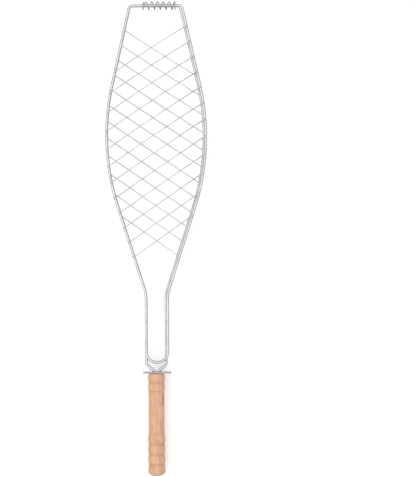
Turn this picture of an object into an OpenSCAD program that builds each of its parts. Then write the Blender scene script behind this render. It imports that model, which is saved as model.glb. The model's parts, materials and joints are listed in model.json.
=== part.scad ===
// A long-handled wire basket for grilling fish. Two wire halves are hinged at one end by a
// coil, their necks run together towards a turned wooden handle, and a wire ring slides
// along the necks to hold the basket shut. Lengths are in millimetres. The basket lies on
// its lower half: +Z is the lid's side, +Y the hinge end and -Y the handle's end.

/* [Outline] */
// Width of the hinge end, between the wires' centres
end_w = 63; // [50:1:80]
// Greatest width, between the wires' centres
belly_w = 119.5; // [100:0.5:150]
// Distance from the hinge to the widest place
belly_at = 157; // [125:1:190]
// Radius of the sides through the widest place
belly_r = 280; // [220:1:340]
// Width of the lid's neck, between the wires' centres
neck_w = 26; // [20:0.5:32]
// Distance from the hinge to the start of the neck
neck_at = 347; // [285:1:420]
// Length of the lid's neck, from its start to its closed end
neck_l = 82.5; // [66:0.5:110]
// Radius of the bends at the hinge end
corner_r = 4; // [3:0.5:8]
// Radius of the bends where the sides meet the neck
shoulder_r = 36; // [20:1:60]
// Diameter of the wire that the outlines are bent from
frame_d = 3.3; // [2.7:0.1:4]
// Clearance between the two halves when the basket is shut
half_gap = 0.3; // [0.2:0.05:0.6]

/* [Lower half] */
// How much closer each side of the lower half lies to its own middle than the lid's does
lower_inset = 1.1; // [0.8:0.1:2]
// How far the lower half and the handle sit to the left of the lid's middle
lower_shift = 0.9; // [0:0.1:1.2]
// Angle at which the neck wires turn in towards the handle
leg_angle = 45; // [38:1:55]
// Radius of the bends in the two legs
leg_r = 3; // [2.5:0.5:5]
// Length of the two tangs inside the handle
tang_l = 46; // [30:1:70]
// Clearance between the two tangs
tang_gap = 0.2; // [0.1:0.1:1]

/* [Cross wires] */
// Number of cross wires on each half
cross_count = 12; // [8:1:14]
// Diameter of a cross wire
cross_d = 1.3; // [1:0.1:1.8]
// Distance along the middle from the hinge to the lid's first cross wire
lid_first = 48; // [40:0.5:60]
// Distance along the middle from the lid's last cross wire to the start of the neck
lid_last = 63.6; // [53:0.1:77]
// Distance along the middle from the hinge to the lower half's first cross wire
lower_first = 52.5; // [40:0.5:60]
// Distance along the middle from the lower half's last cross wire to the start of the neck
lower_last = 64.6; // [53:0.1:78]
// Slope of the cross wire nearest the hinge
slope_first = 32.6; // [28:0.1:40]
// Slope of the cross wire nearest the neck
slope_last = 35.2; // [28:0.1:42]
// Radius of the bow that every cross wire is bent to
bow_r = 168; // [140:1:260]
// Radius of the bend between the bow and its flat end
tab_r = 5; // [3:0.5:8]
// Length of a flat end inside the outline wire's centre
tab_in = 2.6; // [2:0.1:4]
// Length of a flat end outside the outline wire's centre
tab_out = 1.9; // [1:0.1:3]
// Gap between a cross wire and the outline wire, filled by the weld
weld_gap = 0.05; // [0.02:0.01:0.1]

/* [Hinge coil] */
// Diameter of the coil's wire
coil_wire_d = 1.2; // [1:0.1:1.6]
// Clearance between the coil and the two end bars
coil_gap = 0.65; // [0.4:0.05:1]
// Number of turns
coil_turns = 6; // [4:1:6]
// Distance from the lid's left corner to the coil
coil_left = 16.3; // [8:0.1:20]
// Distance from the coil to the lid's right corner
coil_right = 4.7; // [4:0.1:20]

/* [Lock ring] */
// Diameter of the ring's wire
ring_wire_d = 1.7; // [1.4:0.1:2]
// Clearance between the ring and the neck wires at each side
ring_side_gap = 0.7; // [0.5:0.1:1]
// Clearance between the ring and the neck wires above and below
ring_gap = 0.8; // [0.5:0.05:1.1]
// Radius of the ring's four bends
ring_r = 2; // [1.8:0.1:3]

/* [Handle] */
// Distance from the lid's closed end to the handle's mouth
mouth_gap = 13.5; // [11:0.5:40]
// Length of each of the two collars at the mouth
collar_l = 10.8; // [8:0.1:14]
// Diameter of the collars
collar_d = 20; // [17:0.1:25]
// Length of the straight grip
grip_l = 51.2; // [40:0.1:75]
// Diameter of the straight grip
grip_d = 18.6; // [16:0.1:23]
// Length of each bead
bead_l = 12.4; // [10:0.1:15]
// Diameter of the beads
bead_d = 20.4; // [17:0.1:25]
// Length of the end knob
knob_l = 13.5; // [12:0.1:17]
// Diameter of the end knob
knob_d = 20.8; // [18:0.1:25]
// Depth of the turned dips between collars and beads
dip = 1; // [0.5:0.1:1.5]
// Rounding of the mouth's edge
mouth_edge = 1.4; // [1:0.1:2]
// Rounding of the end knob
knob_edge = 5.5; // [4:0.1:7]
// Clearance between the tangs and their bore
bore_gap = 0.05; // [0.02:0.01:0.1]

/* [Hidden] */
BEADS = 3;
COLLARS = 2;
MOUTH_CONE = 2;          // depth of the countersink that the legs pass through
MOUTH_OUT = 1.6;         // how far outside the mouth the legs meet the line of the tangs
TANG_ROOM = 1;           // depth of the bore beyond the tangs' ends
OVERCUT = 1;             // how far a cut starts outside the wood
RING_SEAT = 0.3;         // the ring's gap from the handle when it is slid back
JOIN_R = 0.03;           // how far the band over a wire's joint stands proud
JOIN_L = 0.4;            // length of that band
STEPS = 30;              // halvings used to find where a cross wire meets the outline
ARC_SHARE = 0.98;        // the sides' radius is at most this share of the largest that fits
COIL_RINGS = 20;         // rings a turn of the coil
COIL_SIDES = 8;          // sides round the coil's wire
WIRE_FN = 24;
BEND_FN = 240;
TURNED_FN = 96;

wires = [for (i = [1 : cross_count]) i];

lid_l = neck_at + neck_l;
mouth_at = lid_l + mouth_gap;
lid_pitch = (neck_at - lid_first - lid_last) / (cross_count - 1);
lower_pitch = (neck_at - lower_first - lower_last) / (cross_count - 1);

// The outline's side, as x over the distance d from the hinge. The middle stretch is an arc,
// and a straight from each end's corner is tangent to it.
// A long or narrow outline needs a tighter arc, so that both its ends stay outside the circle.
function end_pt(inset) = [end_w / 2 - inset, 0];
function neck_pt(inset) = [neck_w / 2 - inset, neck_at];
function largest_r(p) =
  let (in = belly_w / 2 - p.x) (in ^ 2 + (p.y - belly_at) ^ 2) / (2 * in);
side_r = min(belly_r, ARC_SHARE * largest_r(end_pt(0)), ARC_SHARE * largest_r(neck_pt(0)));
function arc_mid(inset) = [belly_w / 2 - inset - side_r, belly_at];
function heading(v) = atan2(v.y, v.x);
function tangent_turn(p, c) = acos(side_r / norm(p - c));
function arc_from(inset) =
  heading(end_pt(inset) - arc_mid(inset)) + tangent_turn(end_pt(inset), arc_mid(inset));
function arc_to(inset) =
  heading(neck_pt(inset) - arc_mid(inset)) - tangent_turn(neck_pt(inset), arc_mid(inset));
function belly_corner(inset) =
  let (half = (arc_to(inset) - arc_from(inset)) / 2, mid = arc_from(inset) + half)
  arc_mid(inset) + side_r / cos(half) * [cos(mid), sin(mid)];
function side_x(d, inset) =
  let (c = arc_mid(inset))
  d < c.y + side_r * sin(arc_from(inset)) ? end_pt(inset).x - d * tan(arc_from(inset))
  : d < c.y + side_r * sin(arc_to(inset)) ? c.x + sqrt(side_r ^ 2 - (d - c.y) ^ 2)
  : neck_pt(inset).x + max(neck_at - d, 0) * tan(arc_to(inset));

// How far a cross wire that starts at distance d on the middle runs before it meets the side
function reach(d, slope, inset, lo = 0, hi = belly_w, n = STEPS) =
  let (t = (lo + hi) / 2)
  n == 0 ? t
  : t * cos(slope) < side_x(d + t * sin(slope), inset) ? reach(d, slope, inset, t, hi, n - 1)
  : reach(d, slope, inset, lo, t, n - 1);

// Cross wire number i of a half, counted from the hinge; low is true on the lower half
function inset_of(low) = low ? lower_inset : 0;
function slope_of(i) = slope_first + (slope_last - slope_first) * (i - 1) / (cross_count - 1);
function middle_d(i, low) = low ? lower_first + lower_pitch * (i - 1) : lid_first + lid_pitch * (i - 1);
function reach_near(i, low) = reach(middle_d(i, low), -slope_of(i), inset_of(low));
function reach_far(i, low) = reach(middle_d(i, low), slope_of(i), inset_of(low));
function half_span(i, low) = (reach_near(i, low) + reach_far(i, low)) / 2;
function bow_angle(i, low) = asin((half_span(i, low) - tab_in) / (bow_r + tab_r));
function bow_h(i, low) = (bow_r + tab_r) * (1 - cos(bow_angle(i, low)));

frame_r = frame_d / 2;
cross_r = cross_d / 2;
stack_r = half_gap / 2 + frame_d;                     // half the height of the two outlines
tab_z = stack_r + weld_gap + cross_r;                 // a flat end's height off the parting plane
parting_z = tab_z + cross_r + max([for (i = wires) bow_h(i, true)]);

coil_d = 2 * (stack_r + coil_gap + coil_wire_d);
coil_pitch = (end_w - coil_left - coil_right) / coil_turns;
coil_shift = (coil_left - coil_right) / 2;
sections = concat(
  [for (i = [1 : COLLARS]) [collar_l, collar_d, dip]],
  [[grip_l, grip_d, 0]],
  [for (i = [1 : BEADS]) [bead_l, bead_d, dip]],
  [[knob_l, knob_d, dip]]
);
function length_before(n) = n == 0 ? 0 : length_before(n - 1) + sections[n - 1][0];
handle_l = length_before(len(sections));
hinge_y = (mouth_at + handle_l - coil_d / 2) / 2;     // puts the origin at mid-length
lower_z = parting_z - stack_r + frame_r;
lid_z = parting_z + stack_r - frame_r;

tang_x = frame_r + tang_gap / 2;
bore_r = 2 * frame_r + tang_gap / 2 + bore_gap;
tang_at = mouth_at - MOUTH_OUT;
lower_neck_x = neck_pt(lower_inset).x;
leg_at = tang_at - (lower_neck_x - tang_x) / tan(leg_angle);

ring_half_w = neck_w / 2 + frame_r + ring_side_gap + ring_wire_d / 2;
ring_half_h = stack_r + ring_gap + ring_wire_d / 2;
ring_at = mouth_at - RING_SEAT - ring_wire_d / 2;

// A wire bent from straights and round bends. Each corner is [x, y, bend radius].
function at(c) = [c.x, c.y];
function unit(v) = v / norm(v);
function corner(cs, i) = cs[(i + len(cs)) % len(cs)];
function dir_in(cs, i) = unit(at(corner(cs, i)) - at(corner(cs, i - 1)));
function dir_out(cs, i) = unit(at(corner(cs, i + 1)) - at(corner(cs, i)));
function side_turn(cs, i) = cross(dir_in(cs, i), dir_out(cs, i)) < 0 ? -1 : 1;
function turn(cs, i) = acos(dir_in(cs, i) * dir_out(cs, i));
function is_bend(cs, i, closed) = closed || (i > 0 && i < len(cs) - 1);
function trim(cs, i, closed) = is_bend(cs, i, closed) ? corner(cs, i)[2] * tan(turn(cs, i) / 2) : 0;
function run_l(cs, i, closed) =
  norm(at(corner(cs, i + 1)) - at(corner(cs, i))) - trim(cs, i, closed)
  - trim(cs, (i + 1) % len(cs), closed);

module along(p, direction) {
  translate([p.x, p.y, 0]) rotate([0, 0, heading(direction)]) rotate([0, 90, 0]) children();
}

module band(p, direction, r) {
  along(p, direction) cylinder(h = JOIN_L, r = r + JOIN_R, center = true, $fn = WIRE_FN);
}

module bend(cs, i, closed, r) {
  rad = corner(cs, i)[2];
  u = dir_in(cs, i);
  s = side_turn(cs, i);
  from = at(corner(cs, i)) - u * trim(cs, i, closed);
  to = at(corner(cs, i)) + dir_out(cs, i) * trim(cs, i, closed);
  mid = from + s * rad * [-u.y, u.x];
  start = heading(from - mid) - (s < 0 ? turn(cs, i) : 0);
  translate([mid.x, mid.y, 0]) rotate([0, 0, start])
    rotate_extrude(angle = turn(cs, i), $fn = BEND_FN) translate([rad, 0]) circle(r = r, $fn = WIRE_FN);
  if (run_l(cs, i - 1, closed) > JOIN_L) band(from, u, r);
  band(to, dir_out(cs, i), r);
}

module bent_wire(cs, d, closed = false) {
  last = closed ? len(cs) - 1 : len(cs) - 2;
  for (i = [0 : last])
    if (run_l(cs, i, closed) > JOIN_L)
      along(at(cs[i]) + dir_out(cs, i) * trim(cs, i, closed), dir_out(cs, i))
        cylinder(h = run_l(cs, i, closed), r = d / 2, $fn = WIRE_FN);
  for (i = [0 : len(cs) - 1])
    if (is_bend(cs, i, closed)) bend(cs, i, closed, d / 2);
}

// The corners of one side, from the hinge end to the neck; s is 1 on the right, -1 on the left
function side_corners(s, inset) = [
  [s * end_pt(inset).x, 0, corner_r],
  [s * belly_corner(inset).x, -belly_corner(inset).y, side_r],
  [s * neck_pt(inset).x, -neck_at, shoulder_r]
];
function backwards(cs) = [for (i = [len(cs) - 1 : -1 : 0]) cs[i]];

module lower_frame() {
  function leg(s) = [
    [s * lower_neck_x, -leg_at, leg_r],
    [s * tang_x, -tang_at, leg_r],
    [s * tang_x, -mouth_at - tang_l, 0]
  ];
  color("silver") translate([-lower_shift, hinge_y, lower_z])
    bent_wire(concat(
      backwards(leg(-1)), backwards(side_corners(-1, lower_inset)), side_corners(1, lower_inset), leg(1)
    ), frame_d);
}

module lid_frame() {
  loop_end = [[neck_w / 2, -lid_l, neck_w / 2], [-neck_w / 2, -lid_l, neck_w / 2]];
  color("silver") translate([0, hinge_y, lid_z])
    bent_wire(concat(backwards(side_corners(-1, 0)), side_corners(1, 0), loop_end), frame_d, true);
}

// A cross wire in its own upright plane: a flat end, a small bend up, and one long bow
module bowed_wire(i, low) {
  a = bow_angle(i, low);
  half = half_span(i, low);
  knee = half - tab_in - tab_r * tan(a / 2);
  bent_wire([
    [-half - tab_out, 0, 0], [-knee, 0, tab_r], [0, knee * tan(a), bow_r],
    [knee, 0, tab_r], [half + tab_out, 0, 0]
  ], cross_d);
}

// Puts a cross wire on its half. It climbs to the right on the lid, and to the left below.
module cross_wire(i, low) {
  side = low ? -1 : 1;
  off = side * (reach_near(i, low) - reach_far(i, low)) / 2;
  x = off * cos(slope_of(i)) - (low ? lower_shift : 0);
  y = hinge_y - middle_d(i, low) + side * off * sin(slope_of(i));
  color("gainsboro") translate([x, y, parting_z + side * tab_z])
    rotate([0, 0, side * slope_of(i)]) rotate([side * 90, 0, 0]) bowed_wire(i, low);
}

// The hinge's coil: one wire wound round both end bars
module hinge_coil() {
  mean_r = (coil_d - coil_wire_d) / 2;
  rings = coil_turns * COIL_RINGS;
  lean = atan(coil_pitch / (360 * mean_r * PI / 180));
  points = [
    for (k = [0 : rings])
      let (a = 360 * k / COIL_RINGS, x = coil_pitch * (k / COIL_RINGS - coil_turns / 2))
        for (j = [0 : COIL_SIDES - 1])
          let (
            b = 360 * j / COIL_SIDES,
            out = mean_r + coil_wire_d / 2 * cos(b),
            aside = coil_wire_d / 2 * sin(b)
          ) [
            x + aside * cos(lean),
            -out * cos(a) - aside * sin(lean) * sin(a),
            out * sin(a) - aside * sin(lean) * cos(a)
          ]
  ];
  function ring_pt(k, j) = k * COIL_SIDES + (j % COIL_SIDES);
  walls = [
    for (k = [0 : rings - 1]) for (j = [0 : COIL_SIDES - 1]) each [
      [ring_pt(k, j), ring_pt(k + 1, j), ring_pt(k + 1, j + 1)],
      [ring_pt(k, j), ring_pt(k + 1, j + 1), ring_pt(k, j + 1)]
    ]
  ];
  caps = [
    for (j = [1 : COIL_SIDES - 2]) each [
      [ring_pt(0, 0), ring_pt(0, j), ring_pt(0, j + 1)],
      [ring_pt(rings, 0), ring_pt(rings, j + 1), ring_pt(rings, j)]
    ]
  ];
  color("gray") translate([coil_shift, hinge_y, parting_z])
    polyhedron(points = points, faces = concat(walls, caps), convexity = 10);
}

module lock_ring() {
  color("dimgray") translate([0, hinge_y - ring_at, parting_z]) rotate([90, 0, 0])
    bent_wire([for (s = [[1, 1], [-1, 1], [-1, -1], [1, -1]])
      [s.x * ring_half_w, s.y * ring_half_h, ring_r]], ring_wire_d, true);
}

// One turned section of the handle: straight, or bulging by the depth of its dips
module turned_section(l, d, depth) {
  bulge_r = depth > 0 ? (l ^ 2 / 4 + depth ^ 2) / (2 * depth) : 0;
  if (depth > 0) intersection() {
    translate([d / 2 - bulge_r, l / 2]) circle(r = bulge_r, $fn = 4 * BEND_FN);
    square([d / 2, l]);
  }
  if (depth == 0) square([d / 2, l]);
}

// The handle's greatest outline, with its mouth and end edges rounded
module handle_limits() {
  r = max(collar_d, grip_d, bead_d, knob_d) / 2;
  mouth_r = collar_d / 2 - mouth_edge;
  end_r = knob_d / 2 - knob_edge;
  square([mouth_r, handle_l / 2]);
  translate([mouth_r, mouth_edge]) circle(r = mouth_edge, $fn = TURNED_FN);
  translate([0, mouth_edge]) square([r, handle_l - mouth_edge - knob_edge]);
  translate([end_r, handle_l - knob_edge]) circle(r = knob_edge, $fn = TURNED_FN);
  translate([0, handle_l / 2]) square([end_r, handle_l / 2]);
}

module handle() {
  color("burlywood") translate([-lower_shift, hinge_y - mouth_at, lower_z]) rotate([90, 0, 0])
    difference() {
      rotate_extrude($fn = TURNED_FN) intersection() {
        union() for (n = [0 : len(sections) - 1])
          translate([0, length_before(n)]) turned_section(sections[n][0], sections[n][1], sections[n][2]);
        handle_limits();
      }
      translate([0, 0, -OVERCUT])
        cylinder(h = OVERCUT + tang_l + TANG_ROOM, r = bore_r, $fn = TURNED_FN);
      translate([0, 0, -OVERCUT])
        cylinder(
          h = MOUTH_CONE + OVERCUT, r1 = bore_r + MOUTH_CONE + OVERCUT, r2 = bore_r, $fn = TURNED_FN
        );
    }
}

lower_frame();
lid_frame();
hinge_coil();
lock_ring();
handle();
for (i = wires) {
  cross_wire(i, true);
  cross_wire(i, false);
}
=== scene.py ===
# %% [markdown]
# # A hinged wire basket for grilling fish
#
# The real basket is two halves of bent steel wire. A coil hinges them at one end, a ring slides along
# their necks to hold them shut, and a turned beech handle is driven onto the lower half's two tangs.
#
# The frame that we load first already holds every piece at its true size and place. So this lesson is
# about looks: round wires with soft bends and sheared ends, welds where wires cross, plated steel that
# shines along its length, and wood with a grain. Each new piece stands exactly where its frame piece is.

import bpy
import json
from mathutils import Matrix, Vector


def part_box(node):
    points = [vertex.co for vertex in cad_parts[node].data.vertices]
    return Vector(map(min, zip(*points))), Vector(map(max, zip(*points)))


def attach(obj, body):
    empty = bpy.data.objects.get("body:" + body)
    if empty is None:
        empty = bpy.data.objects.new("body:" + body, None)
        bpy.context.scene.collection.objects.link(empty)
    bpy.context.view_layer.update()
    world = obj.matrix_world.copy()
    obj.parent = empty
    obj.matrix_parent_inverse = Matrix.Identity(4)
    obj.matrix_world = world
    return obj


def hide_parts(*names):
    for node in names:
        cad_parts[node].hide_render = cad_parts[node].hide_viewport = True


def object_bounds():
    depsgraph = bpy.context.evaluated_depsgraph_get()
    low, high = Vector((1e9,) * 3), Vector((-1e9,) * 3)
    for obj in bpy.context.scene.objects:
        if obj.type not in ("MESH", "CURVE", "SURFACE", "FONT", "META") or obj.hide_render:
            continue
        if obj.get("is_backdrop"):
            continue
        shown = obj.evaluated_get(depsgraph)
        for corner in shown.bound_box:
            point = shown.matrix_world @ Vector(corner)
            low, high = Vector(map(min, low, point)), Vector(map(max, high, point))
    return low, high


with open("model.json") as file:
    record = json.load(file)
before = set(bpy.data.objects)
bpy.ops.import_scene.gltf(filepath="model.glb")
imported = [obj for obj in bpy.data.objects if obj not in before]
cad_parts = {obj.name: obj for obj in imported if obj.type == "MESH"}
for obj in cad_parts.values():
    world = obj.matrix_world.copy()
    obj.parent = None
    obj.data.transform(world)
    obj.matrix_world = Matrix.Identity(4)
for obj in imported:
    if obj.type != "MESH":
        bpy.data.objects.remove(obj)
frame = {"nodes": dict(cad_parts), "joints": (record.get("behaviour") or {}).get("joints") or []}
cad_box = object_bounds()
cad_size = [round(1000 * s, 1) for s in cad_box[1] - cad_box[0]]
print("frame pieces:", len(frame["nodes"]), "size in mm:", cad_size)

# %% Tools for the lesson
import json
import math
import random

import bpy
import numpy as np
from mathutils import Vector

MM = 0.001  # the frame is in metres, and wires are easier to think of in millimetres
scene = bpy.context.scene
scene.view_settings.view_transform = "Standard"

# %% [markdown]
# ## Camera first
#
# The basket lies flat and is seen from straight above, from far away, so that nothing tapers. A long
# lens at two and a half metres does that. The camera stands a little to the side of the basket.

# %% Camera
CAMERA_HEIGHT = 2.5
CAMERA_ASIDE = 61.9 * MM
CAMERA_ROLL = math.radians(-0.25)
LENS = 156.6

hinge = next(j for j in frame["joints"] if j["name"] == "lid_hinge")
hinge_y = hinge["pos_m"][1]
lid_low, lid_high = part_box("lid_frame")
lower_low, lower_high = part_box("lower_frame")
lid_z = (lid_low.z + lid_high.z) / 2
lower_z = (lower_low.z + lower_high.z) / 2
middle_z = (lid_z + lower_z) / 2

camera_data = bpy.data.cameras.new("camera")
camera_data.lens = LENS
camera = bpy.data.objects.new("camera", camera_data)
camera.location = (CAMERA_ASIDE, 0, middle_z + CAMERA_HEIGHT)
camera.rotation_euler = (0, 0, CAMERA_ROLL)
scene.collection.objects.link(camera)
scene.camera = camera
print("the halves meet at", round(middle_z / MM, 2), "mm above the floor")

# %% [markdown]
# ## Soft light from all round
#
# Bright wire has no look of its own: it shows the room. A light tent gives it a bright ceiling and a
# darker band near the horizon, and that band draws the thin grey lines that make a wire look round.
# The world shader is that tent. It looks at the height of a direction, and it is a little brighter on
# the left. Seen straight on, behind the basket, it is a plain pale backdrop. One wide lamp, also from
# the left, gives the wood its shape.

# %% World and lamp
CEILING = 1.62
BAND = 0.22
TENT = [  # height of a direction, from the floor up, and the light that comes from there
    (0.0, 0.9), (0.47, 0.75), (0.51, BAND), (0.68, BAND), (0.78, 1.3), (1.0, CEILING),
]
BRIGHTER_LEFT = 0.13
CURVE_TOP = 2   # the curve below runs from 0 to 1, so it holds the light divided by this

world = bpy.data.worlds.new("light_tent")
scene.world = world
world.use_nodes = True
tent = world.node_tree
tent.nodes.clear()
direction = tent.nodes.new("ShaderNodeTexCoord")
split = tent.nodes.new("ShaderNodeSeparateXYZ")
height = tent.nodes.new("ShaderNodeMapRange")
height.inputs["From Min"].default_value = -1
ramp = tent.nodes.new("ShaderNodeFloatCurve")
sky = tent.nodes.new("ShaderNodeBackground")
out = tent.nodes.new("ShaderNodeOutputWorld")
curve = ramp.mapping.curves[0]
while len(curve.points) < len(TENT):
    curve.points.new(0.5, 0.5)
for point, (where, light) in zip(curve.points, TENT):
    point.location = (where, light / CURVE_TOP)
    point.handle_type = "VECTOR"
ramp.mapping.update()
tent.links.new(direction.outputs["Generated"], split.inputs[0])
tent.links.new(split.outputs["Z"], height.inputs["Value"])
tent.links.new(height.outputs[0], ramp.inputs["Value"])
lean = tent.nodes.new("ShaderNodeMath")
lean.operation = "MULTIPLY_ADD"
lean.inputs[1].default_value = -CURVE_TOP * BRIGHTER_LEFT
lean.inputs[2].default_value = CURVE_TOP
tent.links.new(split.outputs["X"], lean.inputs[0])
tent.links.new(ramp.outputs[0], sky.inputs["Color"])
tent.links.new(lean.outputs[0], sky.inputs["Strength"])
backdrop = tent.nodes.new("ShaderNodeBackground")
backdrop.inputs["Color"].default_value = (0.93, 0.93, 0.935, 1)
seen = tent.nodes.new("ShaderNodeLightPath")
either = tent.nodes.new("ShaderNodeMixShader")
tent.links.new(seen.outputs["Is Camera Ray"], either.inputs[0])
tent.links.new(sky.outputs[0], either.inputs[1])
tent.links.new(backdrop.outputs[0], either.inputs[2])
tent.links.new(either.outputs[0], out.inputs[0])

lamp_data = bpy.data.lights.new("left_window", "AREA")
lamp_data.size = 1.6
lamp_data.energy = 4
lamp = bpy.data.objects.new("left_window", lamp_data)
lamp.location = (-1.6, -0.5, 1.5)
lamp.rotation_euler = (Vector((0, 0, 0)) - lamp.location).to_track_quat("-Z", "Y").to_euler()
scene.collection.objects.link(lamp)
print("tent ceiling", CEILING, "band", BAND)

# %% [markdown]
# ## How a wire is made
#
# Everything but the handle is bent wire, so one pair of helpers makes it all. The first walks along a
# list of corners and rounds each with its bend radius, the way a bending machine sees a wire. The
# second sweeps a round section along that walk. A curve with a bevel would do the same, but a mesh of
# our own can thin the ends, swell at a butt weld and carry numbers that a material can read.
#
# Each vertex keeps its place on the straightened wire: how far along it is, and where round the
# section. Scratches from the drawing die can then follow the wire through every bend.

# %% Helpers for paths
NO_TURN = 1e-4                   # a corner that turns less than this, in radians, is straight
LARGEST_TURN = math.radians(7)   # from one point of a bend to the next
SAME_PLACE = 0.02 * MM           # points closer than this are one point


def rounded_path(corners, step, closed=False):
    """Points along straights and bends; each corner is (point, bend radius)."""
    count = len(corners)
    spots = [Vector(c[0]) for c in corners]
    path = []
    for i, (spot, radius) in enumerate(zip(spots, [c[1] for c in corners])):
        if not closed and i in (0, count - 1):
            path.append(spot)
            continue
        before = (spots[i - 1] - spot).normalized()
        after = (spots[(i + 1) % count] - spot).normalized()
        turn = math.pi - before.angle(after)
        if turn < NO_TURN or radius == 0:
            path.append(spot)
            continue
        trim = radius * math.tan(turn / 2)
        middle = spot + (before + after).normalized() * (radius / math.cos(turn / 2))
        start = spot + before * trim - middle
        end = spot + after * trim - middle
        pieces = max(3, math.ceil(max(radius * turn / step, turn / LARGEST_TURN)))
        for k in range(pieces + 1):
            a = turn * k / pieces
            path.append(middle + (start * math.sin(turn - a) + end * math.sin(a)) / math.sin(turn))
    return even_out(path, step, closed)


def even_out(path, step, closed):
    """Fills the straights, so that no two points lie further apart than step, and drops doubles."""
    filled = []
    last = len(path) if closed else len(path) - 1
    for i in range(last):
        a, b = path[i], path[(i + 1) % len(path)]
        gap = (b - a).length
        if gap < SAME_PLACE:
            continue
        pieces = max(1, math.ceil(gap / step))
        filled += [a.lerp(b, k / pieces) for k in range(pieces)]
    if not closed:
        filled.append(path[-1])
    return filled

# %% Helper that sweeps a round wire
END_CHAMFER = [(0.0, 0.80), (0.12, 0.93), (0.3, 1.0)]  # depth and width of a sheared end, in wire radii


def with_ends(path, radius):
    """Adds close points near both ends, and gives each point its share of the wire's radius."""
    shares = [1.0] * len(path)
    for end in (0, -1):
        inward = (path[1] - path[0]) if end == 0 else (path[-2] - path[-1])
        inward.normalize()
        new = [path[end] + inward * depth * radius for depth, _ in END_CHAMFER]
        widths = [width for _, width in END_CHAMFER]
        if end == 0:
            path = new + path[1:]
            shares = widths + shares[1:]
        else:
            path = path[:-1] + new[::-1]
            shares = shares[:-1] + widths[::-1]
    return path, shares


def wire(name, path, diameter, across, closed=False, sides=16, swell=None, heat=None, shaded_and_worn=None):
    """A round wire along path. across is a direction that the path never runs along."""
    radius = diameter / 2
    shares = [1.0] * len(path)
    if not closed:
        path, shares = with_ends(path, radius)
    p = np.array(path, float)
    if closed:
        tangent = np.roll(p, -1, 0) - np.roll(p, 1, 0)
        steps = np.linalg.norm(np.diff(p, axis=0, append=p[:1]), axis=1)
    else:
        tangent = np.gradient(p, axis=0)
        steps = np.linalg.norm(np.diff(p, axis=0), axis=1)
    along = np.concatenate([[0], np.cumsum(steps)])[: len(p)]
    tangent /= np.linalg.norm(tangent, axis=1)[:, None]
    across = np.broadcast_to(np.array(across, float), p.shape)
    side = np.cross(tangent, across)
    side /= np.linalg.norm(side, axis=1)[:, None]
    up = np.cross(side, tangent)
    width = radius * np.array(shares)
    if swell is not None:
        width = width * swell(along, steps.sum())
    angle = np.arange(sides) * 2 * math.pi / sides
    around = side[:, None] * np.cos(angle)[None, :, None] + up[:, None] * np.sin(angle)[None, :, None]
    points = (p[:, None] + around * width[:, None, None]).reshape(-1, 3)

    rows = len(p)
    faces = []
    for i in range(rows if closed else rows - 1):
        a, b = i * sides, (i + 1) % rows * sides
        faces += [(a + j, a + (j + 1) % sides, b + (j + 1) % sides, b + j) for j in range(sides)]
    if not closed:
        faces.append(tuple(range(sides))[::-1])
        faces.append(tuple((rows - 1) * sides + j for j in range(sides)))
    piece = new_piece(name, points, faces)
    straight = np.zeros((rows, sides, 3), np.float32)
    straight[:, :, 0] = along[:, None]
    straight[:, :, 1] = radius * np.cos(angle)
    straight[:, :, 2] = radius * np.sin(angle)
    keep(piece, "straightened", straight.reshape(-1, 3), "FLOAT_VECTOR")
    for mark, measure in (("heat", heat), ("shaded_and_worn", shaded_and_worn)):
        amount = np.zeros(rows) if measure is None else measure(p)
        keep(piece, mark, np.repeat(amount, sides), "FLOAT")
    return piece


def new_piece(name, points, faces):
    """A mesh object with faces that point outwards and are shaded smooth."""
    mesh = bpy.data.meshes.new(name)
    mesh.from_pydata([tuple(v) for v in points], [], faces)
    mesh.validate()
    if signed_volume(mesh) < 0:
        mesh.flip_normals()
    mesh.shade_smooth()
    piece = bpy.data.objects.new(name, mesh)
    scene.collection.objects.link(piece)
    return piece


def signed_volume(mesh):
    """The volume inside a closed mesh, which is negative when its faces point inwards."""
    mesh.calc_loop_triangles()
    corners = np.zeros(len(mesh.loop_triangles) * 3, np.int32)
    mesh.loop_triangles.foreach_get("vertices", corners)
    spots = np.array([v.co for v in mesh.vertices])[corners.reshape(-1, 3)]
    return float(np.einsum("ij,ij->i", spots[:, 0], np.cross(spots[:, 1], spots[:, 2])).sum() / 6)


def keep(piece, name, values, kind):
    """Stores a value for each vertex under a name that materials can read."""
    attribute = piece.data.attributes.new(name, kind, "POINT")
    field = "vector" if kind == "FLOAT_VECTOR" else "value"
    attribute.data.foreach_set(field, np.asarray(values, np.float32).ravel())

# %% [markdown]
# ## The outline's shape
#
# Seen from above, each half is a fish: a short straight end at the hinge, long curved sides, and a
# narrow neck. The side is one big arc through the widest place, and a straight from either end meets
# it as a tangent. We only need the corner where the two straights would cross, because the helper
# above rounds that corner with the arc's own radius.

# %% Sizes of the outline
OUTLINE_D = 3.3 * MM
END_W = 63 * MM
BELLY_AT = 157 * MM
BELLY_R = 280 * MM
NECK_W = 26 * MM
NECK_AT = 347 * MM
CORNER_R = 4 * MM
SHOULDER_R = 36 * MM

lid_half_w = (lid_high.x - lid_low.x - OUTLINE_D) / 2
lower_half_w = (lower_high.x - lower_low.x - OUTLINE_D) / 2
lower_inset = lid_half_w - lower_half_w
lower_x = (lower_high.x + lower_low.x) / 2
print("lid half width", round(lid_half_w / MM, 2), "lower inset", round(lower_inset / MM, 2),
      "lower shift", round(lower_x / MM, 2))


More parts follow.
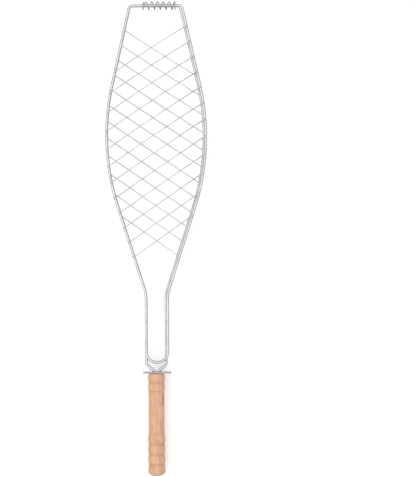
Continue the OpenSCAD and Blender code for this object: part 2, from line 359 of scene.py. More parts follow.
# %% One side of a half, from the hinge to the neck
def side_corners(half_w, inset, z, x_middle, sign):
    """Corners of one side, with y running down from the hinge."""
    end = np.array([END_W / 2 - inset, 0])
    neck = np.array([NECK_W / 2 - inset, NECK_AT])
    centre = np.array([half_w - BELLY_R, BELLY_AT])

    def touch(point, way):
        gap = point - centre
        return math.atan2(gap[1], gap[0]) + way * math.acos(BELLY_R / np.linalg.norm(gap))

    first, last = touch(end, 1), touch(neck, -1)
    middle, half = (first + last) / 2, (last - first) / 2
    belly = centre + BELLY_R / math.cos(half) * np.array([math.cos(middle), math.sin(middle)])
    places = [(end, CORNER_R), (belly, BELLY_R), (neck, SHOULDER_R)]
    return [((x_middle + sign * p[0], hinge_y - p[1], z), r) for p, r in places]

# %% [markdown]
# ## The lid's outline
#
# The lid is one closed loop, so somewhere its ends are butt welded. A factory puts that weld on the
# straight hinge end, where the coil hides it, and grinds it nearly flush. Heat from spot welding leaves
# a faint straw tint near each cross wire, and we measure how near, to colour it later.

# %% Where cross wires meet the outlines
LID_WIRES = [f"lid_wire_{i}" for i in range(1, 100) if f"lid_wire_{i}" in frame["nodes"]]
LOWER_WIRES = [f"lower_wire_{i}" for i in range(1, 100) if f"lower_wire_{i}" in frame["nodes"]]
CROSS_D = 1.3 * MM
TAB_IN = 2.6 * MM    # flat end inside the outline wire's centre
TAB_OUT = 1.9 * MM   # flat end outside it
KNEE_R = 5 * MM      # small bend between a flat end and the bow
SLOPE_ROUNDS = 8     # rounds of a sum that settles on a wire's slope


def lie_of(node, leans_right):
    """Middle, direction and half length of a straight wire that fills its box from corner to corner."""
    low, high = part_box(node)
    half_x, half_y = (high.x - low.x) / 2, (high.y - low.y) / 2
    slope = math.atan2(half_y, half_x)
    for _ in range(SLOPE_ROUNDS):
        slope = math.atan2(half_y - CROSS_D / 2 * math.cos(slope), half_x - CROSS_D / 2 * math.sin(slope))
    half = (half_x - CROSS_D / 2 * math.sin(slope)) / math.cos(slope)
    way = Vector((math.cos(slope), math.sin(slope) * (1 if leans_right else -1), 0))
    middle = Vector(((low.x + high.x) / 2, (low.y + high.y) / 2, 0))
    return middle, way, half


def weld_spots(nodes, leans_right):
    """Where both ends of each wire are welded, seen from above."""
    spots = []
    for node in nodes:
        middle, way, half = lie_of(node, leans_right)
        spots += [middle - way * (half - TAB_OUT), middle + way * (half - TAB_OUT)]
    return spots


lid_spots = weld_spots(LID_WIRES, True)
lower_spots = weld_spots(LOWER_WIRES, False)
HEAT_REACH = 5 * MM


def near(spots):
    """A function that says how hot each point of a path was, from 0 to 1, by its nearest weld."""
    flat = np.array([s[:2] for s in spots])

    def heat(path):
        gaps = np.linalg.norm(path[:, None, :2] - flat[None], axis=2).min(1)
        return np.exp(-((gaps / HEAT_REACH) ** 2))

    return heat


print("welds:", len(lid_spots), "on the lid and", len(lower_spots), "on the lower half")

# %% Painted shade and wear where the coil sits on the end bars
coil_low, coil_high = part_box("hinge_coil")
COIL_MARK_EDGE = 1.5 * MM


# The coil's contact shadow is painted as darker steel on the bars, together with some rubbing wear.
def coil_shade_and_wear(path):
    """How much painted shade and wear from the coil each point of a path gets, from 0 to 1."""
    inside = np.minimum(path[:, 0] - coil_low.x, coil_high.x - path[:, 0]) / COIL_MARK_EDGE
    on_bar = np.abs(path[:, 1] - hinge_y) < OUTLINE_D
    return np.clip(inside, 0, 1) * on_bar


print("rubbed length of the bars:", round((coil_high.x - coil_low.x) / MM, 1), "mm")

# %% Lid outline
STEP = 1.2 * MM
BUTT_SWELL = 0.05    # how far the butt weld stands out, as a share of the radius
BUTT_L = 1.2 * MM
HAIR = 1e-6          # the round end is this much narrower on either side than the neck


def butt_weld(along, length):
    """Swells the wire where its two ends were joined, at the start of the path."""
    gap = np.minimum(along, length - along)
    return 1 + BUTT_SWELL * np.exp(-((gap / BUTT_L) ** 2))


neck_end_y = lid_low.y + OUTLINE_D / 2
right = side_corners(lid_half_w, 0, lid_z, 0, 1)
left = side_corners(lid_half_w, 0, lid_z, 0, -1)
turn_r = NECK_W / 2 - HAIR
u_end = [((turn_r, neck_end_y, lid_z), turn_r), ((-turn_r, neck_end_y, lid_z), turn_r)]
hinge_middle = [((0, hinge_y, lid_z), 0)]
lid_path = rounded_path(hinge_middle + right + u_end + left[::-1], STEP, closed=True)
lid_outline = wire("lid_outline", lid_path, OUTLINE_D, (0, 0, 1), closed=True, sides=20,
                   swell=butt_weld, heat=near(lid_spots), shaded_and_worn=coil_shade_and_wear)
lid_wire_length = sum((a - b).length for a, b in zip(lid_path, lid_path[1:]))
print("lid outline is bent from", round(lid_wire_length, 3), "m of wire")

# %% [markdown]
# ## The lower half's outline
#
# The lower outline is open. Past the lid's end its two legs turn in towards each other, then run
# straight again as a pair of tangs inside the handle.

# %% Lower outline
LEG_ANGLE = math.radians(45)
LEG_R = 3 * MM
TANG_L = 46 * MM
TANG_GAP = 0.2 * MM
LEG_ABOVE_MOUTH = 1.6 * MM

handle_low, handle_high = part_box("handle")
mouth_y = handle_high.y
tang_x = (OUTLINE_D + TANG_GAP) / 2
leg_end_y = mouth_y + LEG_ABOVE_MOUTH
leg_start_y = leg_end_y + (NECK_W / 2 - lower_inset - tang_x) / math.tan(LEG_ANGLE)


def leg_corners(sign):
    """Corners of one leg, from the neck into the handle."""
    return [
        ((lower_x + sign * (NECK_W / 2 - lower_inset), leg_start_y, lower_z), LEG_R),
        ((lower_x + sign * tang_x, leg_end_y, lower_z), LEG_R),
        ((lower_x + sign * tang_x, mouth_y - TANG_L, lower_z), 0),
    ]


lower_right = side_corners(lower_half_w, lower_inset, lower_z, lower_x, 1) + leg_corners(1)
lower_left = side_corners(lower_half_w, lower_inset, lower_z, lower_x, -1) + leg_corners(-1)
lower_path = rounded_path(lower_left[::-1] + lower_right, STEP)
lower_outline = wire("lower_outline", lower_path, OUTLINE_D, (0, 0, 1), sides=20, heat=near(lower_spots),
                     shaded_and_worn=coil_shade_and_wear)
print("lower outline has", len(lower_outline.data.vertices), "vertices")

# %% [markdown]
# ## Cross wires
#
# Each half carries a row of thin wires on its outside. They lean one way on the lid and the other way
# below, and every one is bowed outwards to leave room for the fish. A cross wire is flat where it is
# welded, then bends up at a small knee into one long arc. Its frame box gives its direction, its length
# and how high it bows, and the arc's radius follows from those.

# %% Cross wires
CROSS_STEP = 1.6 * MM


def cross_wire(node, on_lid):
    """One cross wire: a flat end, a knee, the long bow, a knee and a flat end."""
    middle, way, half = lie_of(node, on_lid)
    low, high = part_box(node)
    bow = high.z - low.z - CROSS_D
    outward = 1 if on_lid else -1
    weld_z = (low.z if on_lid else high.z) + outward * CROSS_D / 2
    span = half - TAB_OUT
    lift = 2 * math.atan(bow / (span - TAB_IN))
    arc_r = (span - TAB_IN) / math.sin(lift) - KNEE_R
    knee = span - TAB_IN - KNEE_R * math.tan(lift / 2)
    up = Vector((0, 0, outward))
    base = middle + Vector((0, 0, weld_z))
    corners = [
        (base - way * half, 0), (base - way * knee, KNEE_R), (base + up * knee * math.tan(lift), arc_r),
        (base + way * knee, KNEE_R), (base + way * half, 0),
    ]
    path = rounded_path(corners, CROSS_STEP)
    spots = [base - way * span, base + way * span]
    return wire(node.replace("wire", "cross_wire"), path, CROSS_D, way.cross(up), sides=12, heat=near(spots))


lid_wires = [cross_wire(node, True) for node in LID_WIRES]
lower_wires = [cross_wire(node, False) for node in LOWER_WIRES]
print("cross wires:", len(lid_wires), "and", len(lower_wires))
print("vertices in one:", len(lid_wires[0].data.vertices))

# %% [markdown]
# ## Welds
#
# A resistance weld melts the two wires into each other under pressure. What shows is a small collar of
# metal squeezed out round the contact, widest along the thin wire. Each one is a little different, so
# the collars are lumps whose surface is pushed in and out by a few waves with seeded phases.

# %% Welds
WELD_LONG = 1.7 * MM
WELD_WIDE = 1.3 * MM
WELD_HIGH = 0.85 * MM
WELD_ROWS, WELD_SIDES = 9, 16
WAVE_OF_3, WAVE_OF_5 = 0.07, 0.05   # how far each wave pushes the surface, as a share


def weld_lump(centre, way, seed):
    """Points and faces of one closed lump, lying along way."""
    rng = random.Random(seed)
    phase = [rng.uniform(0, 2 * math.pi) for _ in range(3)]
    size = [rng.uniform(0.9, 1.1) for _ in range(3)]
    aside = Vector((-way.y, way.x, 0))
    points = []
    for i in range(1, WELD_ROWS):
        tilt = math.pi * i / WELD_ROWS
        for j in range(WELD_SIDES):
            a = 2 * math.pi * j / WELD_SIDES
            lump = 1 + WAVE_OF_3 * math.sin(3 * a + phase[0])
            lump += WAVE_OF_5 * math.sin(5 * a + phase[1] + 2 * tilt)
            flat = math.sin(tilt) * lump
            points.append(centre + way * (WELD_LONG * size[0] * flat * math.cos(a))
                          + aside * (WELD_WIDE * size[1] * flat * math.sin(a))
                          + Vector((0, 0, WELD_HIGH * size[2] * math.cos(tilt))))
    top, bottom = len(points), len(points) + 1
    points += [centre + Vector((0, 0, WELD_HIGH * size[2])), centre - Vector((0, 0, WELD_HIGH * size[2]))]
    faces = []
    for j in range(WELD_SIDES):
        k = (j + 1) % WELD_SIDES
        faces.append((top, j, k))
        for i in range(WELD_ROWS - 2):
            a, b = i * WELD_SIDES, (i + 1) * WELD_SIDES
            faces.append((a + j, b + j, b + k, a + k))
        last = (WELD_ROWS - 2) * WELD_SIDES
        faces.append((bottom, last + k, last + j))
    return points, faces


def welds(name, nodes, on_lid):
    """All the collars of one half, as one piece."""
    points, faces = [], []
    outline_z = lid_z if on_lid else lower_z
    contact = outline_z + (OUTLINE_D / 2) * (1 if on_lid else -1)
    for n, node in enumerate(nodes):
        middle, way, half = lie_of(node, on_lid)
        for end in (-1, 1):
            spot = middle + way * end * (half - TAB_OUT)
            lump, quads = weld_lump(Vector((spot.x, spot.y, contact)), way, f"{name}{n}{end}")
            faces += [tuple(len(points) + v for v in face) for face in quads]
            points += lump
    piece = new_piece(name, points, faces)
    keep(piece, "straightened", np.array(points), "FLOAT_VECTOR")
    keep(piece, "heat", np.ones(len(points)), "FLOAT")
    return piece


lid_welds = welds("lid_welds", LID_WIRES, True)
lower_welds = welds("lower_welds", LOWER_WIRES, False)
print("weld collars:", 2 * len(LID_WIRES) + 2 * len(LOWER_WIRES))

# %% [markdown]
# ## The hinge coil
#
# One piece of springy wire is wound round both end bars. From above its loops look like a row of
# arches: the wire moves sideways mostly behind the bars and comes back steeply in front of them. A sine
# added to the steady advance of a helix gives that lean. The two cut ends stick out a little.

# %% Hinge coil
COIL_D = 1.2 * MM
COIL_TURNS = 6
ARCH = 0.55 * MM       # how much wider than a plain helix the arches spread
STUB = 1.0 * MM        # length of the cut ends past the coil
FIRST_END = Vector((-0.2 * MM, 0, STUB))          # from the coil to its first cut end
LAST_END = Vector((0.1 * MM, -0.4 * STUB, STUB))   # and to its last
COIL_STEPS = 40        # points a turn

coil_r = (coil_high.z - coil_low.z - COIL_D) / 2
coil_x = coil_low.x + COIL_D / 2
coil_pitch = (coil_high.x - coil_low.x - COIL_D) / COIL_TURNS
coil_centre = Vector((0, hinge_y, (coil_low.z + coil_high.z) / 2))


def coil_point(turn):
    """Place on the coil after so many turns. It starts in front of the bars and climbs over them."""
    a = 2 * math.pi * turn
    inside = min(max(turn, 0), COIL_TURNS - 0.5)
    x = coil_x + coil_pitch * inside - ARCH * math.sin(2 * math.pi * inside)
    return coil_centre + Vector((x, -coil_r * math.cos(a), coil_r * math.sin(a)))


turns = np.arange(-0.5 * COIL_STEPS, COIL_TURNS * COIL_STEPS + 1) / COIL_STEPS
coil_path = [coil_point(t) for t in turns]
coil_path.insert(0, coil_path[0] + FIRST_END)
coil_path.append(coil_path[-1] + LAST_END)
hinge_spring = wire("hinge_spring", coil_path, COIL_D, (1, 0, 0), sides=12)
print("coil radius", round(coil_r / MM, 2), "mm, pitch", round(coil_pitch / MM, 2), "mm")

# %% [markdown]
# ## The lock ring
#
# The ring is a flat loop of wire bent round both necks. Slid towards the fish it jams where the necks
# widen, and the basket is locked. Its ends are butt welded underneath.

# %% Lock ring
RING_D = 1.7 * MM
RING_R = 2 * MM
RING_STEP = 0.7 * MM
RING_BUTT = 1.6   # its butt weld stands out this many times as far as the lid's

ring_low, ring_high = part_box("lock_ring")
ring_y = (ring_low.y + ring_high.y) / 2
ring_w = (ring_high.x - ring_low.x - RING_D) / 2
ring_h = (ring_high.z - ring_low.z - RING_D) / 2
ring_z = (ring_low.z + ring_high.z) / 2
ring_corners = [((0, ring_y, ring_z - ring_h), 0)]
ring_corners += [((x * ring_w, ring_y, ring_z + z * ring_h), RING_R)
                 for x, z in ((1, -1), (1, 1), (-1, 1), (-1, -1))]
ring_path = rounded_path(ring_corners, RING_STEP, closed=True)
lock_loop = wire("lock_loop", ring_path, RING_D, (0, 1, 0), closed=True, sides=16,
                 swell=lambda along, length: 1 + RING_BUTT * (butt_weld(along, length) - 1))
print("ring", round(2 * ring_w / MM, 1), "by", round(2 * ring_h / MM, 1), "mm between centres")

# %% [markdown]
# ## The handle
#
# The handle is turned on a lathe: two collars at the mouth, a straight grip, three beads and a knob. We
# write its profile as radius over length, soften the creases as sandpaper would, and turn it round the
# axis. The profile goes on inside, down a countersink and the bore, so that the mouth is a real hole.
# Each ring also stores how deep in a groove it lies, because the grooves get painted shade.

# %% Handle profile
COLLAR = (10.8 * MM, 20 * MM, 1 * MM)   # length, diameter, depth of the dips at both ends
GRIP = (51.2 * MM, 18.6 * MM, 0)
BEAD = (12.4 * MM, 20.4 * MM, 1 * MM)
KNOB = (13.5 * MM, 20.8 * MM, 1 * MM)
SECTIONS = [COLLAR, COLLAR, GRIP, BEAD, BEAD, BEAD, KNOB]
MOUTH_EDGE = 1.4 * MM
KNOB_EDGE = 6 * MM
KNOB_ROUND = 2.3   # 2 would make the knob's end a plain ellipse, and more is squarer
BORE_R = 3.45 * MM
CONE = 2 * MM
PROFILE_STEP = 0.35 * MM
EASE_STEPS, EASE_POINTS = 4, 12   # the profile's first and last 4 steps hold 12 points each, for round edges
FINE_POINTS = 1200                # points on the profile while it is sanded
SOFTEN = 0.55 * MM                # how far the sanding reaches
SAND_POINTS = 40                  # fine points on either side that it takes in
CREST_POINTS = 70                 # fine points on either side that a groove is measured against
FULL_GROOVE = 0.35 * MM           # a groove this deep gets as much painted shade as any

handle_l = handle_high.y - handle_low.y
handle_z = (handle_low.z + handle_high.z) / 2
handle_x = (handle_low.x + handle_high.x) / 2


def turned_radius(t):
    """Radius of the turned shape at distance t from the mouth, before sanding."""
    for length, diameter, dip in SECTIONS:
        if t <= length:
            break
        t -= length
    t = min(t, length)
    if dip == 0:
        return diameter / 2
    bulge = (length ** 2 / 4 + dip ** 2) / (2 * dip)
    return diameter / 2 - bulge + math.sqrt(bulge ** 2 - (t - length / 2) ** 2)


def edge_limit(t):
    """The most that the radius may be near the two rounded ends."""
    mouth_r, knob_r = COLLAR[1] / 2, KNOB[1] / 2
    from_end = handle_l - t
    if t < MOUTH_EDGE:
        return mouth_r - MOUTH_EDGE + math.sqrt(MOUTH_EDGE ** 2 - (MOUTH_EDGE - t) ** 2)
    if from_end < KNOB_EDGE:
        return knob_r * (1 - (1 - from_end / KNOB_EDGE) ** KNOB_ROUND) ** (1 / KNOB_ROUND)
    return math.inf


count = round(handle_l / PROFILE_STEP)
ease = [0.5 - 0.5 * math.cos(math.pi * k / EASE_POINTS) for k in range(EASE_POINTS)]
starts = [e * EASE_STEPS * PROFILE_STEP for e in ease]
stations = np.array(starts + [handle_l * k / count for k in range(EASE_STEPS, count - EASE_STEPS)]
                    + [handle_l - s for s in starts[::-1]])
fine = np.linspace(0, handle_l, FINE_POINTS)
raw = np.array([turned_radius(t) for t in fine])
kernel = np.exp(-((np.arange(-SAND_POINTS, SAND_POINTS + 1) * (fine[1] - fine[0]) / SOFTEN) ** 2))
sanded = np.convolve(np.pad(raw, SAND_POINTS, "edge"), kernel / kernel.sum(), "valid")
window = 2 * CREST_POINTS + 1
crest = np.convolve(np.pad(sanded, CREST_POINTS, "edge"), np.ones(window) / window, "valid")
radii = np.minimum(np.interp(stations, fine, sanded), [edge_limit(t) for t in stations])
groove = np.clip(np.interp(stations, fine, crest - sanded) / FULL_GROOVE, 0, 1)
print("handle", round(handle_l / MM, 1), "mm long, deepest groove", round(groove.max(), 2))

# %% Handle
HANDLE_SIDES = 96
BORE_L = TANG_L + 1 * MM     # the bore is a little deeper than the tangs are long
BORE_RING = CONE + 3 * MM    # one more ring in the bore, which keeps the countersink's edge crisp
BORE_SHADE = 0.8              # the bore counts as a groove this deep, and gets painted shade
OVAL, RIPPLE = 0.05 * MM, 0.03 * MM   # how far hand sanding leaves the handle from round

inner = [(BORE_L, 0), (BORE_L, BORE_R), (BORE_RING, BORE_R), (CONE, BORE_R),
         (CONE / 2, BORE_R + CONE / 2), (0, BORE_R + CONE), (0, (BORE_R + CONE + radii[0]) / 2)]
profile = [(t, r, BORE_SHADE) for t, r in inner] + list(zip(stations, radii, groove))


def turned_piece(name, profile, sides):
    """Turns (length, radius, groove) round the handle's axis, with a trace of hand sanding."""
    points, depth, rows = [], [], []
    for t, r, g in profile:
        if r == 0:
            rows.append([len(points)])
            points.append((handle_x, mouth_y - t, handle_z))
            depth.append(g)
            continue
        rows.append(list(range(len(points), len(points) + sides)))
        for k in range(sides):
            a = 2 * math.pi * k / sides
            worn = OVAL * math.sin(2 * a + 31 * t) + RIPPLE * math.sin(5 * a - 90 * t)
            rr = r + (worn if r > BORE_R + CONE else 0)
            points.append((handle_x + rr * math.cos(a), mouth_y - t, handle_z + rr * math.sin(a)))
            depth.append(g)
    faces = []
    for one, two in zip(rows, rows[1:]):
        for k in range(sides):
            a, b = one[k % len(one)], one[(k + 1) % len(one)]
            c, d = two[(k + 1) % len(two)], two[k % len(two)]
            faces.append(tuple(dict.fromkeys((a, b, c, d))))
    piece = new_piece(name, points, faces)
    keep(piece, "groove", depth, "FLOAT")
    return piece


beech_handle = turned_piece("beech_handle", profile, HANDLE_SIDES)
print("handle mesh:", len(beech_handle.data.vertices), "vertices")

# %% [markdown]
# ## Effects that several metals share
#
# All the metal here is drawn wire with thin bright plating, so three effects repeat: fine lines left by
# the drawing die, clouds and pinholes in the plating, and the tint that welding leaves. Each is a node
# group with its own sliders. A group only hands out masks, colours and heights; the shader stays in
# each material, where an exporter can find it.

# %% Node helpers
def socket(group, way, name, kind="NodeSocketFloat", default=None):
    """One named slider or result of a node group."""
    made = group.interface.new_socket(name=name, in_out=way, socket_type=kind)
    if default is not None:
        made.default_value = default
    return made


class Sheet:
    """A node tree that is written from left to right, one call a node."""

    def __init__(self, tree):
        self.tree = tree

    def add(self, kind, out=0, settings=None, **inputs):
        node = self.tree.nodes.new("ShaderNode" + kind)
        for key, value in (settings or {}).items():
            setattr(node, key, value)
        for key, value in inputs.items():
            slot = node.inputs[int(key[1:])] if key[0] == "i" and key[1:].isdigit() else node.inputs[key]
            if isinstance(value, bpy.types.NodeSocket):
                self.tree.links.new(value, slot)
            else:
                slot.default_value = value
        return node.outputs[out]

    def math(self, how, a, b=0.0, clamp=False):
        return self.add("Math", settings={"operation": how, "use_clamp": clamp}, i0=a, i1=b)

    def spread(self, value, low, high, to_low=0.0, to_high=1.0):
        return self.add("MapRange", i0=value, i1=low, i2=high, i3=to_low, i4=to_high)

    def blend(self, share, a, b, how="MIX"):
        return self.add("Mix", out=2, settings={"data_type": "RGBA", "blend_type": how}, i0=share, i6=a, i7=b)

    def stretched(self, vector, scale, turn=(0, 0, 0), place=(0, 0, 0)):
        return self.add("Mapping", i0=vector, i1=place, i2=turn, i3=scale)

    def noise(self, vector, scale, detail=2.0, rough=0.5):
        return self.add("TexNoise", i0=vector, Scale=scale, Detail=detail, Roughness=rough)


def new_group(name):
    """An empty node group, a sheet to write it on, what it is given and what it gives."""
    group = bpy.data.node_groups.new(name, "ShaderNodeTree")
    sheet = Sheet(group)
    ends = group.nodes.new("NodeGroupInput"), group.nodes.new("NodeGroupOutput")
    return group, sheet, ends[0].outputs, ends[1].inputs


# %% Group: lines from the drawing die
lines_group, s, given, gives = new_group("drawn_lines")
socket(lines_group, "INPUT", "Straightened", "NodeSocketVector")
socket(lines_group, "INPUT", "Line length", default=30.0)
socket(lines_group, "INPUT", "Line width", default=0.15)
socket(lines_group, "OUTPUT", "Lines")
socket(lines_group, "OUTPUT", "Height")
long = s.math("DIVIDE", 1000.0, given["Line length"])
wide = s.math("DIVIDE", 1000.0, given["Line width"])
scale = s.add("CombineXYZ", i0=long, i1=wide, i2=wide)
drawn = s.add("VectorMath", settings={"operation": "MULTIPLY"}, i0=given["Straightened"], i1=scale)
lines = s.noise(drawn, 1.0, 3.0, 0.6)
broad = s.noise(drawn, 0.3, 1.0)
s.tree.links.new(s.spread(lines, 0.35, 0.65), gives["Lines"])
s.tree.links.new(s.math("ADD", lines, s.math("MULTIPLY", broad, 0.6)), gives["Height"])

# %% Group: clouds and pinholes in the plating
plating_group, s, given, gives = new_group("plating")
socket(plating_group, "INPUT", "Cloud size", default=9.0)
socket(plating_group, "INPUT", "Pinholes", default=0.3)
socket(plating_group, "OUTPUT", "Clouds")
socket(plating_group, "OUTPUT", "Pits")
place = s.add("TexCoord", out=3)
cloud_scale = s.math("DIVIDE", 1000.0, given["Cloud size"])
clouds = s.noise(place, cloud_scale, 3.0, 0.55)
pin = s.add("TexVoronoi", i0=place, Scale=900.0)
pin_rare = s.noise(place, 260.0, 1.0)
hole = s.math("MULTIPLY", s.spread(pin, 0.24, 0.1), s.spread(pin_rare, 0.52, 0.7))
s.tree.links.new(s.spread(clouds, 0.3, 0.7), gives["Clouds"])
s.tree.links.new(s.math("MULTIPLY", hole, given["Pinholes"], True), gives["Pits"])

# %% Group: tint left by welding
tint_group, s, given, gives = new_group("weld_tint")
socket(tint_group, "INPUT", "Metal", "NodeSocketColor")
socket(tint_group, "INPUT", "Strength", default=0.5)
socket(tint_group, "OUTPUT", "Colour", "NodeSocketColor")
socket(tint_group, "OUTPUT", "Heat")
hot = s.add("Attribute", out=2, settings={"attribute_name": "heat"})
ragged = s.noise(s.add("TexCoord", out=3), 420.0, 2.0)
heat = s.math("MULTIPLY", hot, s.spread(ragged, 0.3, 0.6, 0.6, 1.0), True)
straw = s.blend(s.math("MULTIPLY", heat, given["Strength"]), given["Metal"], (0.40, 0.34, 0.27, 1))
hottest = s.math("MULTIPLY", s.spread(heat, 0.75, 1.0), given["Strength"])
blue = s.blend(hottest, straw, (0.30, 0.33, 0.40, 1))
s.tree.links.new(blue, gives["Colour"])
s.tree.links.new(heat, gives["Heat"])
print("shared effects:", [g.name for g in (lines_group, plating_group, tint_group)])

# %% [markdown]
# ## Plated wire
#
# Bright nickel or chrome over steel is a metal shader with a cool grey colour. Roughness carries most
# of the character: it rises in the clouds and along the drawn lines, and is lowest between them.
# The same recipe with other numbers makes the thin wires, the dull spring wire and the scuffed ring.

# %% Metal recipe
def group_in(sheet, group, **values):
    """Places a shared group in a material, with that material's own values."""
    node = sheet.tree.nodes.new("ShaderNodeGroup")
    node.node_tree = group
    for key, value in values.items():
        slot = node.inputs[key.replace("_", " ")]
        if isinstance(value, bpy.types.NodeSocket):
            sheet.tree.links.new(value, slot)
        else:
            slot.default_value = value
    return node.outputs


def new_material(name):
    """A material with one shader, and the sheet to write the rest on."""
    material = bpy.data.materials.new(name)
    material.use_nodes = True
    material.node_tree.nodes.clear()
    sheet = Sheet(material.node_tree)
    shader = sheet.tree.nodes.new("ShaderNodeBsdfPrincipled")
    end = sheet.tree.nodes.new("ShaderNodeOutputMaterial")
    sheet.tree.links.new(shader.outputs[0], end.inputs[0])
    return material, sheet, shader


# Darker steel for the painted shade, with some wear, where the coil sits on the end bars.
SHADED_AND_WORN_STEEL = (0.20, 0.195, 0.195, 1)
PINHOLE = (0.13, 0.11, 0.10, 1)


def metal(name, bright, dull, smooth, rough, line_length, line_width, depth, pinholes, tint):
    """bright and dull are colours, smooth and rough are roughness, depth is the bump in millimetres."""
    material, s, shader = new_material(name)
    straight = s.add("Attribute", out=1, settings={"attribute_name": "straightened"})
    lines = group_in(s, lines_group, Straightened=straight, Line_length=line_length, Line_width=line_width)
    plating = group_in(s, plating_group, Pinholes=pinholes)
    colour = s.blend(plating["Clouds"], bright, dull)
    colour = s.blend(s.math("MULTIPLY", lines["Lines"], 0.16), colour, dull, "MULTIPLY")
    weld = group_in(s, tint_group, Metal=colour, Strength=tint)
    colour = s.blend(plating["Pits"], weld["Colour"], PINHOLE)
    # Painted shade, together with rubbing wear, darkens the end bars under the coil loops.
    shaded_and_worn = s.add("Attribute", out=2, settings={"attribute_name": "shaded_and_worn"})
    shaded_and_worn = s.math("MULTIPLY", shaded_and_worn, s.spread(lines["Lines"], 0, 1, 0.1, 0.6))
    colour = s.blend(shaded_and_worn, colour, SHADED_AND_WORN_STEEL)
    worn = s.math("ADD", s.math("MULTIPLY", plating["Clouds"], 0.6), s.math("MULTIPLY", lines["Lines"], 0.4))
    gloss = s.spread(worn, 0.1, 0.9, smooth, rough)
    gloss = s.math("ADD", gloss, s.math("MULTIPLY", weld["Heat"], 0.16), True)
    s.tree.links.new(colour, shader.inputs["Base Color"])
    s.tree.links.new(gloss, shader.inputs["Roughness"])
    height = s.math("SUBTRACT", lines["Height"], s.math("MULTIPLY", plating["Pits"], 1.5))
    bump = s.add("Bump", Strength=1.0, Distance=depth * MM, Height=height)
    s.tree.links.new(bump, shader.inputs["Normal"])
    shader.inputs["Metallic"].default_value = 1
    return material


# %% The metals
outline_steel = metal("plated_outline_wire", (0.62, 0.625, 0.645, 1), (0.515, 0.52, 0.54, 1),
                      smooth=0.07, rough=0.18, line_length=30, line_width=0.18, depth=0.003,
                      pinholes=0.35, tint=0.25)
cross_steel = metal("plated_cross_wire", (0.65, 0.65, 0.665, 1), (0.55, 0.55, 0.56, 1),
                    smooth=0.22, rough=0.38, line_length=18, line_width=0.12, depth=0.003,
                    pinholes=0.3, tint=0.35)
spring_steel = metal("dull_spring_wire", (0.58, 0.58, 0.59, 1), (0.42, 0.42, 0.43, 1),
                     smooth=0.24, rough=0.45, line_length=12, line_width=0.1, depth=0.004,
                     pinholes=0.6, tint=0.0)
ring_steel = metal("scuffed_ring_wire", (0.56, 0.565, 0.575, 1), (0.42, 0.42, 0.43, 1),
                   smooth=0.20, rough=0.42, line_length=6, line_width=0.16, depth=0.006,
                   pinholes=0.5, tint=0.0)
weld_steel = metal("weld_collar", (0.68, 0.68, 0.69, 1), (0.55, 0.545, 0.54, 1),
                   smooth=0.30, rough=0.55, line_length=1.2, line_width=0.4, depth=0.03,
                   pinholes=0.5, tint=0.4)
print("metals:", [m.name for m in (outline_steel, cross_steel, spring_steel, ring_steel, weld_steel)])

# %% [markdown]
# ## Beech
#
# Beech is pale and pinkish, with faint growth rings and many short dark flecks that lie along the
# grain. We treat the handle as cut from a solid tree: rings are cylinders round a pith that lies well
# outside the handle, so the turned shape cuts them into long lines, and into arcs on the knob's end.
# Fibres are noise drawn out along the handle. Grooves get a little painted shade, and end grain drinks more
# finish and goes darker. A few marks of this one piece of wood sit where they were cut.

# %% Beech material
PITH = (26 * MM, 0, -44 * MM)     # the tree's middle, as seen from the handle's axis
RING_GAP = 2.6 * MM
MARKS = [  # distance from the axis and from the mouth, half width and half length, all in mm, and depth
    (7.6, 31, 2.4, 10, 1.0),
    (5.9, 117, 1.1, 2.6, 1.0),
    (-3.0, 119.2, 2.0, 1.2, 0.9),
    (1.4, 81.5, 3.0, 3.4, 0.7),
    (0.3, 46, 0.9, 7, 0.45),
]
MARK_HIGH = 6     # the marks lie this high above the axis, in mm
MARK_REACH = 9    # and reach this far in height

beech, s, shader = new_material("turned_beech")
place = s.add("TexCoord", out=3)
centred = s.stretched(place, (1, 1, 1), place=(-handle_x, -mouth_y, -handle_z))
tilted = s.stretched(centred, (1, 1, 1), turn=(math.radians(1.6), 0, math.radians(1.1)),
                     place=(-PITH[0], 0, -PITH[2]))
wander = s.noise(s.stretched(centred, (60, 9, 60)), 1.0, 2.0)
shifted = s.add("VectorMath", settings={"operation": "ADD"}, i0=tilted,
                i1=s.add("CombineXYZ", i0=s.math("MULTIPLY", wander, 2.5 * MM), i1=0.0,
                         i2=s.math("MULTIPLY", wander, 1.5 * MM)))
rings = s.add("TexWave", out=1, i0=shifted, Scale=2 * math.pi / (20 * RING_GAP), Distortion=0.6,
              Detail=2.0, settings={"wave_type": "RINGS", "rings_direction": "Y", "wave_profile": "SAW"})
late_wood = s.spread(rings, 0.55, 1.0)
fibre = s.noise(s.stretched(centred, (3200, 70, 3200)), 1.0, 3.0, 0.6)
coarse = s.noise(s.stretched(centred, (700, 22, 700)), 1.0, 3.0, 0.55)
flecks = s.noise(s.stretched(centred, (1900, 330, 1900)), 1.0, 1.0)
fleck = s.spread(flecks, 0.62, 0.70)
patch = s.noise(s.stretched(centred, (55, 26, 55)), 1.0, 2.0)
blotch = s.noise(s.stretched(centred, (260, 75, 260), place=(3, 1, 5)), 1.0, 2.0)

colour = s.blend(s.spread(patch, 0.35, 0.65), (0.700, 0.395, 0.235, 1), (0.755, 0.475, 0.345, 1))
colour = s.blend(s.spread(blotch, 0.42, 0.66, 0.0, 0.6), colour, (0.57, 0.285, 0.155, 1))
colour = s.blend(s.math("MULTIPLY", late_wood, 0.30), colour, (0.55, 0.290, 0.170, 1))
colour = s.blend(s.spread(coarse, 0.42, 0.68, 0.0, 0.5), colour, (0.53, 0.285, 0.175, 1))
colour = s.blend(s.spread(fibre, 0.3, 0.7, 0.16, 0.0), colour, (0.44, 0.235, 0.14, 1))
colour = s.blend(s.math("MULTIPLY", fleck, 0.42), colour, (0.40, 0.185, 0.115, 1))

